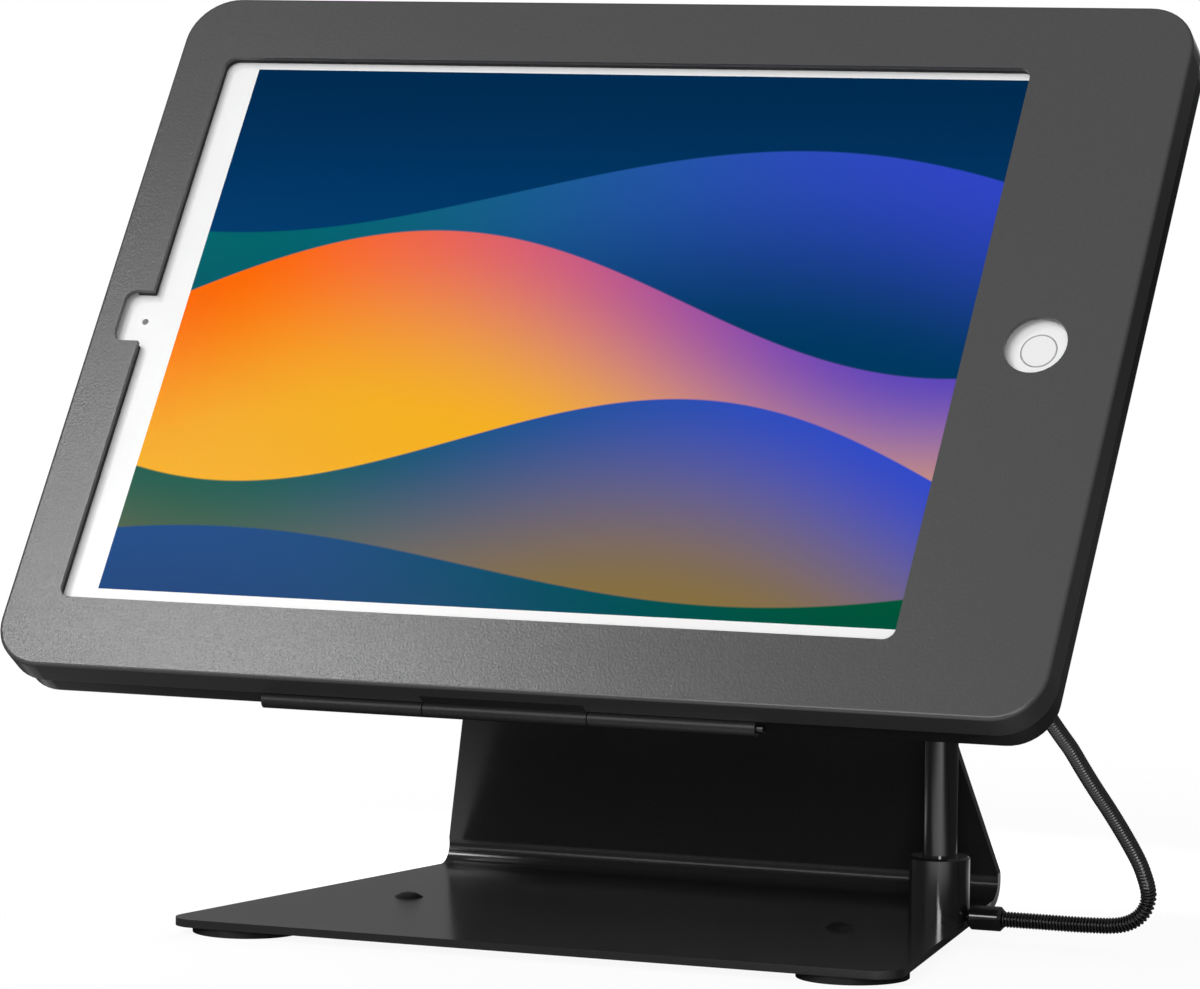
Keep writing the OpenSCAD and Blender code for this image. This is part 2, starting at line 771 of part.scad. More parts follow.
module flange_screws() {
    shank_l = sheet_t + shell_t + nut_h;
    color("#2c2c2e")
        on_face()
            screw_places()
                translate([0, 0, back_n - sheet_t])
                    difference() {
                        union() {
                            cylinder(d = screw_d, h = shank_l);
                            mirror([0, 0, 1])
                                dome(screw_head_d, screw_head_h);
                        }
                        translate([0, 0, -screw_head_h - cut])
                            cylinder(d = screw_hex, h = screw_head_h / 2 + cut, $fn = 6);
                    }
}

module clinch_nuts() {
    color("#9a9a9c")
        on_face()
            screw_places()
                translate([0, 0, floor_n])
                    difference() {
                        cylinder(d = nut_d, h = nut_h);
                        translate([0, 0, -cut])
                            cylinder(d = screw_d + 2 * pin_fit, h = nut_h + 2 * cut);
                    }
}

module tablet_pads() {
    color("#202022")
        on_face()
            for (sx = [-1, 1], sv = [-1, 1])
                translate([tablet_x + sx * tablet_w / 3, sv * tablet_h / 3, floor_n])
                    linear_extrude(pad_t)
                        rounded_rect(pad_side, pad_side, pad_r);
}

// Foam blocks that hold the tablet in place against the shell's walls and floor
module tablet_stops() {
    stop_h = stop_top_n - floor_n;
    color("#242426")
        on_face()
            translate([0, 0, floor_n]) {
                for (sx = [-1, 1]) {
                    translate([tablet_x + sx * stop_reach_x - stop_l / 2, tablet_h / 2, 0])
                        cube([stop_l, shell_inner_top - tablet_h / 2, stop_h]);
                    translate([tablet_x + sx * stop_reach_x - stop_l / 2, shell_inner_bottom, 0])
                        cube([stop_l, -tablet_h / 2 - shell_inner_bottom, stop_h]);
                }
                for (sv = [-1, 1]) {
                    translate([-shell_inner_x, sv * stop_reach_v - stop_l / 2, 0])
                        cube([tablet_left + shell_inner_x, stop_l, stop_h]);
                    translate([tablet_right, sv * stop_reach_v - stop_l / 2, 0])
                        cube([stop_side_t, stop_l, stop_h]);
                }
            }
}

// Knuckle along x on the hinge's axis, from one end to the other
module knuckle(from, to) {
    translate([from, hinge_v, hinge_n])
        rotate([0, 90, 0])
            cylinder(r = knuckle_r, h = to - from);
}

module pin_bore() {
    translate([-hinge_l, hinge_v, hinge_n])
        rotate([0, 90, 0])
            cylinder(d = pin_hole_d, h = 2 * hinge_l);
}

// Leaf under the rear shell with the two outer knuckles
module hinge_rear_leaf() {
    inner_x = knuckle_l / 2 + knuckle_gap;
    leaf_v = shell_bottom - leaf_t;
    color("#1e1e20")
        on_face()
            difference() {
                union() {
                    translate([-hinge_l / 2, leaf_v, leaf_low_n])
                        cube([hinge_l, leaf_t, leaf_mid_n - leaf_low_n]);
                    for (x = [-hinge_l / 2, inner_x]) {
                        translate([x, leaf_v, leaf_low_n])
                            cube([knuckle_l, leaf_t, hinge_n - leaf_low_n]);
                        knuckle(x, x + knuckle_l);
                    }
                }
                pin_bore();
                rivet_places()
                    translate([0, leaf_v - pass_gap, 0])
                        rotate([-90, 0, 0])
                            cylinder(d = rivet_d + 2 * pin_fit, h = leaf_t + 2 * pass_gap);
            }
}

module hinge_rivets() {
    color("#3a3a3c")
        on_face()
            rivet_places()
                translate([0, shell_bottom - leaf_t, 0])
                    rotate([-90, 0, 0]) {
                        cylinder(d = rivet_d, h = leaf_t + shell_t);
                        translate([0, 0, leaf_t + shell_t])
                            dome(rivet_head_d, rivet_head_h);
                    }
}

module hinge_pin() {
    color("#2a2a2c")
        on_face()
            translate([-hinge_l / 2, hinge_v, hinge_n])
                rotate([0, 90, 0])
                    cylinder(d = pin_d, h = hinge_l + pin_tail);
}

// Leaf let into the cover's lower wall, with the middle knuckle
module hinge_front_leaf() {
    color("#1e1e20")
        on_face()
            difference() {
                union() {
                    translate([-knuckle_l / 2, cover_bottom, hinge_n])
                        cube([knuckle_l, cover_t, rim_n + tab_h - hinge_n]);
                    knuckle(-knuckle_l / 2, knuckle_l / 2);
                }
                pin_bore();
            }
}

module tablet_shell() {
    color("#c9cacc")
        on_face()
            translate([tablet_x, 0, 0])
                difference() {
                    mirror([0, 0, 1]) {
                        around(tablet_w, tablet_h, tablet_r)
                            soft_edge(tablet_r, tablet_t, tablet_edge_r);
                        translate([-(tablet_w / 2 - tablet_r), -(tablet_h / 2 - tablet_r), 0])
                            cube([tablet_w - 2 * tablet_r, tablet_h - 2 * tablet_r, tablet_t]);
                    }
                    translate([0, 0, -glass_t])
                        linear_extrude(glass_t + cut)
                            rounded_rect(tablet_w - 2 * tablet_rim, tablet_h - 2 * tablet_rim, tablet_r - tablet_rim);
                    translate([end_reach, 0, -button_t - button_travel - pass_gap])
                        cylinder(d = button_flange_d + 2 * pass_gap, h = tablet_t);
                }
}

module tablet_glass() {
    color("#f4f4f4")
        on_face()
            translate([tablet_x, 0, -glass_t])
                difference() {
                    linear_extrude(glass_t)
                        rounded_rect(tablet_w - 2 * tablet_rim, tablet_h - 2 * tablet_rim, tablet_r - tablet_rim);
                    translate([-display_w / 2, -display_h / 2, -cut])
                        cube([display_w, display_h, glass_t + 2 * cut]);
                    translate([-end_reach, 0, -cut])
                        cylinder(d = lens_d, h = glass_t + 2 * cut);
                    translate([end_reach, 0, -cut])
                        cylinder(d = button_d + 2 * button_gap, h = glass_t + 2 * cut);
                }
}

module display_panel() {
    color("#2b4f9e")
        on_face()
            translate([tablet_x - display_w / 2, -display_h / 2, -glass_t])
                cube([display_w, display_h, glass_t]);
}

module camera_lens() {
    color("#3a3d42")
        on_face()
            translate([camera_x, 0, -glass_t])
                cylinder(d = lens_d, h = glass_t);
}

// Pressed cap with a flange that stays under the glass
module home_button() {
    color("#efefef")
        on_face()
            translate([button_x, 0, -button_t]) {
                cylinder(d = button_d, h = button_t);
                cylinder(d = button_flange_d, h = button_t - glass_t - button_gap);
            }
}

module window_outline() {
    translate([window_x, window_v])
        rounded_rect(window_w, window_h, window_r);
    translate([window_x - window_w / 2, 0])
        rounded_rect(2 * notch_d, notch_h, notch_r);
}

// Tray over the tablet's front, with the window, the button's hole and a notch for the hinge leaf
module front_cover() {
    color("#4e4e50")
        on_face()
            difference() {
                translate([0, -cover_drop, rim_n])
                    tray(cover_w, cover_h, cover_r, cover_d, cover_t, cover_edge_r);
                translate([0, 0, face_inner_n - cut])
                    linear_extrude(cover_t + 2 * cut)
                        window_outline();
                translate([button_x, 0, face_inner_n - cut])
                    cylinder(d = button_hole_d, h = cover_t + 2 * cut);
                translate([-knuckle_l / 2, cover_bottom - cut, rim_n - cut])
                    cube([knuckle_l, cover_t + 2 * cut, tab_h + cut]);
            }
}

// Foam frame glued behind the window's edge, open at the camera's notch
module front_gasket() {
    inner_w = window_w + 2 * gasket_setback;
    inner_h = window_h + 2 * gasket_setback;
    color("#121212")
        on_face()
            translate([0, 0, gasket_gap])
                linear_extrude(gasket_t)
                    difference() {
                        translate([window_x, window_v])
                            rounded_rect(inner_w + 2 * gasket_band, inner_h + 2 * gasket_band, window_r + gasket_band);
                        translate([window_x, window_v])
                            rounded_rect(inner_w, inner_h, window_r);
                        translate([window_x - window_w / 2, 0])
                            rounded_rect(2 * (notch_d + gasket_setback), notch_h + 2 * gasket_setback, notch_r);
                    }
}

// Hook behind the cover's face that the lock's cam holds down
module lock_keeper() {
    color("#8c8c8e")
        on_face()
            translate([strip_x - keeper_w / 2, 0, 0]) {
                translate([0, keeper_leg_v, lip_n])
                    cube([keeper_w, cam_t, face_inner_n - lip_n]);
                translate([0, lip_v, lip_n])
                    cube([keeper_w, keeper_leg_v - lip_v + cam_t, cam_t]);
                translate([0, keeper_leg_v, face_inner_n - cam_t])
                    cube([keeper_w, keeper_foot_l, cam_t]);
            }
}

// Flush head behind the rear shell, with a bored neck that reaches to just below the keeper's lip
module lock_housing() {
    bore_d = key_plug_d + 2 * pin_fit;
    bore_l = housing_l + neck_l - lock_shoulder_t;
    color("#b8b8ba")
        on_face()
            translate([strip_x, lock_v, back_n])
                difference() {
                    union() {
                        translate([0, 0, -housing_l])
                            cylinder(d = housing_d, h = housing_l);
                        cylinder(d = neck_d, h = neck_l);
                    }
                    translate([0, 0, -housing_l - cut])
                        cylinder(d = bore_d, h = bore_l + cut);
                    translate([0, 0, -housing_l])
                        cylinder(d = spindle_d + 2 * pin_fit, h = housing_l + neck_l + cut);
                }
}

module lock_nut() {
    color("#9a9a9c")
        on_face()
            translate([strip_x, lock_v, floor_n])
                hex_nut(lock_nut_d, lock_nut_h, neck_d + 2 * pin_fit);
}

// Key plug with its slot and the spindle that carries the cam
module lock_cylinder() {
    plug_top = back_n + neck_l - lock_shoulder_t - pin_fit;
    plug_bottom = back_n - housing_l;
    color("#d0d0d2")
        on_face()
            translate([strip_x, lock_v, 0])
                difference() {
                    union() {
                        translate([0, 0, plug_bottom])
                            cylinder(d = key_plug_d, h = plug_top - plug_bottom);
                        translate([0, 0, plug_bottom])
                            cylinder(d = spindle_d, h = cam_n - plug_bottom);
                    }
                    translate([-key_slot.x / 2, -key_slot.y / 2, plug_bottom - cut])
                        cube([key_slot.x, key_slot.y, key_slot.z + cut]);
                    translate([0, 0, cam_n + cam_t - cam_screw_l])
                        cylinder(d = cam_screw_d + 2 * pin_fit, h = cam_screw_l);
                }
}

// Short arm on the spindle's end, round at its tip and pointing to the right while the lock is open
module lock_cam() {
    color("#a4a4a6")
        on_face()
            translate([strip_x, lock_v, cam_n])
                difference() {
                    intersection() {
                        union() {
                            cylinder(d = cam_w, h = cam_t);
                            translate([0, -cam_w / 2, 0])
                                cube([cam_l, cam_w, cam_t]);
                        }
                        cylinder(r = cam_l, h = cam_t);
                    }
                    translate([0, 0, -cut])
                        cylinder(d = cam_screw_d + 2 * pin_fit, h = cam_t + 2 * cut);
                }
}

module cam_screw() {
    color("#8c8c8e")
        on_face()
            translate([strip_x, lock_v, cam_n + cam_t]) {
                translate([0, 0, -cam_screw_l + pin_fit])
                    cylinder(d = cam_screw_d, h = cam_screw_l - pin_fit);
                dome(cam_screw_head_d, cam_screw_head_h);
            }
}

stand_bracket();
rubber_feet();
anchor_hole_plugs();
support_post();
post_collar();
collar_set_screw();
post_socket();
lower_ferrule();
tether_conduit();
upper_gland();
gland_nut();
rear_shell();
flange_screws();
clinch_nuts();
tablet_pads();
tablet_stops();
hinge_rear_leaf();
hinge_rivets();
hinge_pin();
tablet_shell();
tablet_glass();
display_panel();
camera_lens();
home_button();
front_cover();
front_gasket();
hinge_front_leaf();
lock_keeper();
lock_housing();
lock_nut();
lock_cylinder();
lock_cam();
cam_screw();
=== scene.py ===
"""Looks of the tablet kiosk stand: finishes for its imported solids, its ribbed tether and a white studio."""

import json
import math

import bpy
import numpy as np
from bpy.props import FloatProperty, FloatVectorProperty, PointerProperty
from bpy.types import Operator, Panel, PropertyGroup, Scene
from mathutils import Matrix, Vector


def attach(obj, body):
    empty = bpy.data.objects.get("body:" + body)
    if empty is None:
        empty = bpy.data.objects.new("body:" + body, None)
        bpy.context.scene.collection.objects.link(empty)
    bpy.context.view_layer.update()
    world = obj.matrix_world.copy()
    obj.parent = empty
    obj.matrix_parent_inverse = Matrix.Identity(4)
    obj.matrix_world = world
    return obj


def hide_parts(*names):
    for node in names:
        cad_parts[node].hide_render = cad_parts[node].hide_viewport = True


bl_info = {
    "name": "Tablet Kiosk Stand",
    "version": (1, 0, 0),
    "blender": (4, 5, 0),
    "location": "View3D > Sidebar > Kiosk",
    "description": "Dresses a tablet kiosk stand with its finishes, tether and studio",
    "category": "Object",
}

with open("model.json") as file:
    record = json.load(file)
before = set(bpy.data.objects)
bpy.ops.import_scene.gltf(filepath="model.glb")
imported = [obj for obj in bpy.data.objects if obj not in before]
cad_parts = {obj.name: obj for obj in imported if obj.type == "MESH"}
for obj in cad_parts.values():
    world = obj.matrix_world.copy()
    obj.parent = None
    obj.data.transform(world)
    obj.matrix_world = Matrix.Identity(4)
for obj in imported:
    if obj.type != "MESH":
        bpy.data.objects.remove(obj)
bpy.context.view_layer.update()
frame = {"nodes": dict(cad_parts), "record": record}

# The tablet's face in the row frame: its centre, its slope from horizontal and the direction up the slope
FACE_AT = (-0.005, -0.0129833, 0.150)
FACE_TILT = math.radians(55.5)
FACE_UP = np.array([0.0, math.cos(FACE_TILT), math.sin(FACE_TILT)])

# Half the display's width and height, and the middles of the tablet's camera and button on either side of it
DISPLAY_HALF = (0.1105, 0.078)
END_REACH = 0.1206
LENS_AT = (FACE_AT[0] - END_REACH, FACE_AT[1], FACE_AT[2])
BUTTON_AT = (FACE_AT[0] + END_REACH, FACE_AT[1], FACE_AT[2])

# Tether route in metres, from the ferrule's end face to the gland's end face
TETHER_POINTS = np.array([
    [92.9, 32, 5], [97, 32, 5], [102, 32, 5], [107, 32, 5], [112, 32, 5], [117, 32, 5.1], [121.4, 32, 5.3],
    [125, 32, 6], [128, 32, 7.6], [130, 32, 10], [130.9, 31.8, 13], [131, 30.7, 15.5], [131, 28.8, 17.9],
    [130.8, 25.3, 21.8], [130.5, 20.2, 26.1], [130.2, 12, 32], [129.8, 3.3, 38], [129.5, -6, 43.9],
    [129.2, -14.7, 49.7], [129, -23.3, 55.5], [128.7, -30, 59.6], [128.5, -36.4, 63.5], [128.5, -39.8, 65.8],
    [128.5, -43.2, 68.1],
]) / 1000.0

# Where the tether's bend starts and ends, in metres along it
TETHER_BEND = (0.029, 0.055)

# How finely the hose is divided: steps from one route point to the next, rings to a rib and sides to a ring
STEPS_PER_SPAN = 24
RINGS_PER_RIB = 8
SIDES_PER_RING = 20

# The camera's place and axes in the row frame, its focal length and the width of its picture in millimetres
CAMERA_AT = (0.605452, -1.417151, 0.229460)
CAMERA_RIGHT = (0.91822156, 0.39593495, 0.01023093)
CAMERA_UP = (-0.03999615, 0.06699479, 0.99695136)
CAMERA_BACK = (0.39404247, -0.91583143, 0.07735193)
CAMERA_LENS = 185.5965
CAMERA_WIDTH = 36.0

# Each lamp's place, the point that it is turned to, and its width and height, in metres
LAMPS = {
    "key": ((-1.04, -0.98, 1.71), (-0.10, -0.06, 0.08), (0.35, 0.35)),
    "soft": ((-0.45, -2.00, 1.35), (0.0, 0.0, 0.12), (1.4, 1.4)),
    "rear": ((-0.45, 1.80, 0.75), (0.0, 0.0, 0.12), (1.4, 1.0)),
    "front": ((0.80, -1.87, 0.31), (0.0, 0.0, 0.31), (0.45, 0.6)),
}

# The white sweep of paper under and behind the object: its run and its width, level, as the camera looks
SWEEP_ALONG = (-0.395, 0.919, 0.0)
SWEEP_ACROSS = (0.919, 0.395, 0.0)

# Where the sweep's white starts and is full in the sky: by the cosine off its run, and by the height
SKY_AHEAD = (0.90, 0.97)
SKY_HEIGHT = (0.10, 0.02)

# Where white starts and is full on the floor, in metres from the origin: a patch close behind the object, a
# strip along the sweep in front of the object and far behind it, and plain white far out
PATCH_FRONT = (0.02, 0.12)
PATCH_REACH = (0.24, 0.16)
STRIP_LEFT = (-0.28, 0.0)
STRIP_RIGHT = (0.22, 0.12)
STRIP_NEAR = (-0.08, -0.14)
STRIP_FAR = (0.3, 0.8)
PLAIN_WHITE = (0.2, 0.6)

# The floor: half its width in metres, its grey, the patch's paper, and the light that lifts it for the camera
FLOOR_REACH = 30.0
FLOOR_GREY = (0.10, 0.10, 0.10)
PATCH_PAPER = (0.70, 0.70, 0.70)
CAMERA_LIFT = 0.92
WHITE = (1.0, 1.0, 1.0, 1.0)

# Colours of the hidden and the small pieces
# Painted shade for the grooves between the tether's ribs and for its bore, darker than the coat
GROOVE_SHADE = (0.002, 0.002, 0.002)
PLUG_BLACK = (0.012, 0.012, 0.012)
FOAM_BLACK = (0.022, 0.022, 0.023)
ZINC = (0.55, 0.56, 0.58)
BLACKENED = (0.06, 0.06, 0.065)
NICKEL = (0.70, 0.69, 0.67)
ALUMINIUM = (0.60, 0.60, 0.62)

# Rings of the tablet's camera, from its middle: radius in metres and colour, then the white rim's two radii
LENS_RINGS = ((0.0, (0.03, 0.03, 0.035)), (0.0004, (0.045, 0.045, 0.05)), (0.00085, (0.06, 0.06, 0.065)))
LENS_RIM = (0.00095, 0.0016)

# The button's white middle and the grey ring round it: radii in metres and the grey
BUTTON_MIDDLE = (0.0, 0.0042)
BUTTON_RING = (0.0043, 0.0046)
RING_GREY = (0.45, 0.45, 0.46)

# Waves on the display, from the back to the front: height of the crest, its swing, the angle that it runs
# through from the middle to the edge, its phase and slope, and the colours at the crest's left, at its right
# and far below it
WAVES = (
    (0.52, 0.24, 2.0, 0.5, -0.08, (0.0, 0.13, 0.15), (0.03, 0.06, 0.56), (0.0, 0.04, 0.12)),
    (0.12, 0.30, 2.3, 2.6, 0.08, (1.0, 0.14, 0.0), (0.10, 0.06, 0.50), (0.92, 0.44, 0.015)),
    (-0.42, 0.24, 2.6, 0.6, -0.10, (0.0, 0.10, 0.07), (0.03, 0.07, 0.58), (0.24, 0.16, 0.05)),
    (-0.84, 0.14, 2.2, 3.4, 0.06, (0.0, 0.06, 0.24), (0.0, 0.09, 0.04), (0.0, 0.025, 0.10)),
)
BACK_LOW = (0.0, 0.045, 0.16)
BACK_HIGH = (0.0, 0.025, 0.085)

# Eased runs on the display, from -1 to 1 each way: the back's colours by height, a crest's colours by place
# across, the fade below a crest and the crest's edge
BACK_RUN = (0.2, 1.0)
CREST_RUN = (-0.9, 0.9)
FADE_RUN = (-0.05, 0.75)
EDGE_RUN = (0.0, 0.008)

# Shares of the picture's light that the display reflects and gives out
PRINT_SHARE = 0.35
GLOW_SHARE = 0.65

# The middle of a noise's range, over which a colour or a number runs
TONE_RANGE = (0.32, 0.68)
SPREAD_RANGE = (0.3, 0.7)

# A Mix node's colour sockets by number, because its sockets for numbers and colours share their names
MIX_FIRST, MIX_SECOND, MIX_RESULT = 6, 7, 2


class KioskSizes(PropertyGroup):
    tether_diameter: FloatProperty(
        name="Tether diameter", description="Outside diameter of the tether's ribs",
        default=0.0041, unit="LENGTH")
    tether_rib_depth: FloatProperty(
        name="Rib depth", description="Depth of the grooves between the tether's ribs",
        default=0.00065, unit="LENGTH")
    tether_bore: FloatProperty(
        name="Tether bore", description="Radius of the tether's bore",
        default=0.0012, unit="LENGTH")
    tether_pitch_foot: FloatProperty(
        name="Rib pitch at the foot", description="Distance from rib to rib between the ferrule and the bend",
        default=0.00084, min=0.0006, unit="LENGTH")
    tether_pitch_head: FloatProperty(
        name="Rib pitch at the head", description="Distance from rib to rib between the bend and the gland",
        default=0.00126, min=0.0006, unit="LENGTH")


class KioskColours(PropertyGroup):
    cover: FloatVectorProperty(
        name="Cover", description="Graphite powder coat of the front cover",
        default=(0.0790, 0.0790, 0.0800), subtype="COLOR")
    bracket: FloatVectorProperty(
        name="Bracket", description="Black powder coat of the bracket and rear shell",
        default=(0.0250, 0.0250, 0.0256), subtype="COLOR")
    hinge: FloatVectorProperty(
        name="Hinge", description="Satin black of the hinge's leaves and knuckles",
        default=(0.0220, 0.0220, 0.0225), subtype="COLOR")
    tether: FloatVectorProperty(
        name="Tether", description="Crowns of the tether's ribs",
        default=(0.0340, 0.0340, 0.0347), subtype="COLOR")
    enamel: FloatVectorProperty(
        name="Enamel", description="Gloss black of the post and its fittings",
        default=(0.0120, 0.0120, 0.0124), subtype="COLOR")
    rubber: FloatVectorProperty(
        name="Rubber", description="Rubber of the feet",
        default=(0.014, 0.014, 0.014), subtype="COLOR")
    face: FloatVectorProperty(
        name="Tablet face", description="White border of the tablet's glass",
        default=(0.92, 0.92, 0.92), subtype="COLOR")


class KioskStudio(PropertyGroup):
    sky: FloatProperty(
        name="Sky", description="Strength of the even light from all round",
        default=0.15)
    key: FloatProperty(
        name="Key", description="Power of the small lamp at the upper left, which gives the cover its sheen",
        default=7.2, unit="POWER")
    soft: FloatProperty(
        name="Soft", description="Power of the large lamp at the left front",
        default=32.0, unit="POWER")
    front: FloatProperty(
        name="Front", description="Power of the low lamp behind the camera",
        default=10.0, unit="POWER")
    rear: FloatProperty(
        name="Rear", description="Power of the large low lamp behind the object",
        default=26.0, unit="POWER")


def add_node(tree, kind, inputs=None, **settings):
    """Adds a shader node, sets its settings by name and its input sockets by name or number."""
    made = tree.nodes.new(kind)
    for key, value in settings.items():
        setattr(made, key, value)
    for key, value in (inputs or {}).items():
        made.inputs[key].default_value = value
    return made


def start_material(name):
    """Makes a new node material and returns it with its tree, its shader and its Object coordinates."""
    made = bpy.data.materials.new(name)
    made.use_nodes = True
    tree = made.node_tree
    shader = tree.nodes["Principled BSDF"]
    coords = add_node(tree, "ShaderNodeTexCoord").outputs["Object"]
    return made, tree, shader, coords


def math_node(tree, operation, first, second):
    """One sum on two values, each a socket or a number."""
    made = add_node(tree, "ShaderNodeMath", operation=operation)
    for socket, value in zip(made.inputs, (first, second)):
        if isinstance(value, (int, float)):
            socket.default_value = value
        else:
            tree.links.new(value, socket)
    return made.outputs["Value"]


def dotted(tree, vector, direction):
    """Length of a vector's shadow on a direction."""
    made = add_node(tree, "ShaderNodeVectorMath", {1: direction}, operation="DOT_PRODUCT")
    tree.links.new(vector, made.inputs[0])
    return made.outputs["Value"]


def length_of(tree, vector):
    """Length of a vector."""
    made = add_node(tree, "ShaderNodeVectorMath", operation="LENGTH")
    tree.links.new(vector, made.inputs[0])
    return made.outputs["Value"]


def smooth(tree, value, low, high):
    """Eased step from 0 at low to 1 at high."""
    made = add_node(tree, "ShaderNodeMapRange", {"From Min": low, "From Max": high},
                    interpolation_type="SMOOTHSTEP")
    tree.links.new(value, made.inputs["Value"])
    return made.outputs["Result"]


def mix_colour(tree, factor, first, second):
    """Colour between two, each a socket or a triple."""
    made = add_node(tree, "ShaderNodeMix", data_type="RGBA")
    tree.links.new(factor, made.inputs["Factor"])
    for number, value in ((MIX_FIRST, first), (MIX_SECOND, second)):
        if isinstance(value, tuple):
            made.inputs[number].default_value = (*value, 1.0)
        else:
            tree.links.new(value, made.inputs[number])
    return made.outputs[MIX_RESULT]


def noise(tree, coords, scale, detail=2.0, stretch=None):
    """Noise on the object's own coordinates; stretch multiplies them first, to draw the grain out one way."""
    if stretch is not None:
        mapping = add_node(tree, "ShaderNodeMapping", {"Scale": stretch})
        tree.links.new(coords, mapping.inputs["Vector"])
        coords = mapping.outputs["Vector"]
    made = add_node(tree, "ShaderNodeTexNoise", {"Scale": scale, "Detail": detail})
    tree.links.new(coords, made.inputs["Vector"])
    return made.outputs["Fac"]


def tone(tree, factor, dark, light):
    """Colour that runs from dark to light over the middle of a noise factor."""
    ramp = add_node(tree, "ShaderNodeValToRGB")
    for stop, position, colour in zip(ramp.color_ramp.elements, TONE_RANGE, (dark, light)):
        stop.position = position
        stop.color = (*colour, 1.0)
    tree.links.new(factor, ramp.inputs["Fac"])
    return ramp.outputs["Color"]


def spread(tree, factor, low, high):
    """Number that runs from low to high over the middle of a noise factor."""
    start, end = SPREAD_RANGE
    made = add_node(tree, "ShaderNodeMapRange",
                    {"From Min": start, "From Max": end, "To Min": low, "To Max": high})
    tree.links.new(factor, made.inputs["Value"])
    return made.outputs["Result"]


def bump(tree, shader, height, strength, depth):
    """Small relief on the shader's normal from a height factor, with its depth in metres."""
    made = add_node(tree, "ShaderNodeBump", {"Strength": strength, "Distance": depth})
    tree.links.new(height, made.inputs["Height"])
    tree.links.new(made.outputs["Normal"], shader.inputs["Normal"])


def paint(tree, shader, colour, roughness, specular=0.5):
    """Links a colour and a roughness to the shader, and sets its specular level."""
    tree.links.new(colour, shader.inputs["Base Color"])
    tree.links.new(roughness, shader.inputs["Roughness"])
    shader.inputs["Specular IOR Level"].default_value = specular


def scaled(colour, share):
    """Colour times a share, up to white at most."""
    return tuple(min(1.0, part * share) for part in colour)


def coated(name, colour, grain, contrast, roughness, relief, specular=0.5, sparkle=0.0, drift=0.02):
    """Powder coat or enamel: fine speckle in the colour, an uneven gloss and a grainy surface.

    grain is the speckle's noise scale per metre, contrast the share that the colour varies by and relief the
    depth of the surface's grain in metres. Where sparkle is set, the light specks are smoother than the dark
    ones by twice that, and otherwise the roughness drifts slowly over the surface."""
    made, tree, shader, coords = start_material(name)
    speckle = noise(tree, coords, scale=grain, detail=3.0)
    speckled = tone(tree, speckle, scaled(colour, 1.0 - contrast), scaled(colour, 1.0 + contrast))
    if sparkle:
        gloss = spread(tree, speckle, roughness + sparkle, roughness - sparkle)
    else:
        clouds = noise(tree, coords, scale=45.0, detail=3.0)
        gloss = spread(tree, clouds, roughness - drift, roughness + drift)
    paint(tree, shader, speckled, gloss, specular)
    bump(tree, shader, speckle, strength=0.35, depth=relief)
    return made


def ribbed_coat(name, groove, crown, roughness, specular, drift=0.04):
    """Coated hose: the rib attribute runs from painted shade in the grooves to crowns worn lighter at random.
    """
    made, tree, shader, coords = start_material(name)
    rib = add_node(tree, "ShaderNodeAttribute", attribute_name="rib").outputs["Fac"]
    wear = noise(tree, coords, scale=300.0, detail=3.0)
    worn = tone(tree, wear, crown, scaled(crown, 1.3))
    # The grooves and the bore get the painted shade, and the crowns get the coat's own colour
    colour = mix_colour(tree, smooth(tree, rib, low=0.2, high=0.8), groove, worn)
    clouds = noise(tree, coords, scale=400.0)
    paint(tree, shader, colour, spread(tree, clouds, roughness - drift, roughness + drift), specular)
    return made


def rubber(name, colour, cell_scale, relief):
    """Matt rubber or foam: cells in the relief, a soft uneven tone and almost no gloss."""
    made, tree, shader, coords = start_material(name)
    cells = add_node(tree, "ShaderNodeTexVoronoi", {"Scale": cell_scale})
    tree.links.new(coords, cells.inputs["Vector"])
    patches = noise(tree, coords, scale=cell_scale * 0.3)
    patched = tone(tree, patches, scaled(colour, 0.75), scaled(colour, 1.35))
    clouds = noise(tree, coords, scale=90.0)
    paint(tree, shader, patched, spread(tree, clouds, low=0.72, high=0.86), specular=0.3)
    bump(tree, shader, cells.outputs["Distance"], strength=0.4, depth=relief)
    return made


def metal(name, colour, roughness, stretch, scale=900.0, drift=0.06):
    """Bare or plated metal: grain drawn out into brushed lines by stretch, in its tone, gloss and relief."""
    made, tree, shader, coords = start_material(name)
    lines = noise(tree, coords, scale, detail=3.0, stretch=stretch)
    brushed = tone(tree, lines, scaled(colour, 0.86), scaled(colour, 1.1))
    paint(tree, shader, brushed, spread(tree, lines, roughness - drift, roughness + drift))
    bump(tree, shader, lines, strength=0.15, depth=0.00002)
    shader.inputs["Metallic"].default_value = 1.0
    return made


def glossy_face(name, colour):
    """Glass over a white print: almost even, with faint smears in its gloss."""
    made, tree, shader, coords = start_material(name)
    clouds = noise(tree, coords, scale=60.0, detail=3.0)
    smears = noise(tree, coords, scale=25.0, detail=4.0)
    print_tone = tone(tree, clouds, colour, scaled(colour, 1.02))
    paint(tree, shader, print_tone, spread(tree, smears, low=0.16, high=0.24), specular=0.12)
    return made


def on_face(tree, coords, at, scale=(1.0, 1.0, 1.0)):
    """Coordinates across, up and out of the tablet's face from a point on it, divided by scale."""
    mapping = add_node(
        tree, "ShaderNodeMapping",
        {"Location": at, "Rotation": (FACE_TILT, 0.0, 0.0), "Scale": scale}, vector_type="TEXTURE")
    tree.links.new(coords, mapping.inputs["Vector"])
    return mapping.outputs["Vector"]


def radius_on_face(tree, coords, at):
    """Distance from an axis square to the tablet's face, through a point, in metres."""
    flat = add_node(tree, "ShaderNodeVectorMath", {1: (1.0, 1.0, 0.0)}, operation="MULTIPLY")
    tree.links.new(on_face(tree, coords, at), flat.inputs[0])
    return length_of(tree, flat.outputs["Vector"])


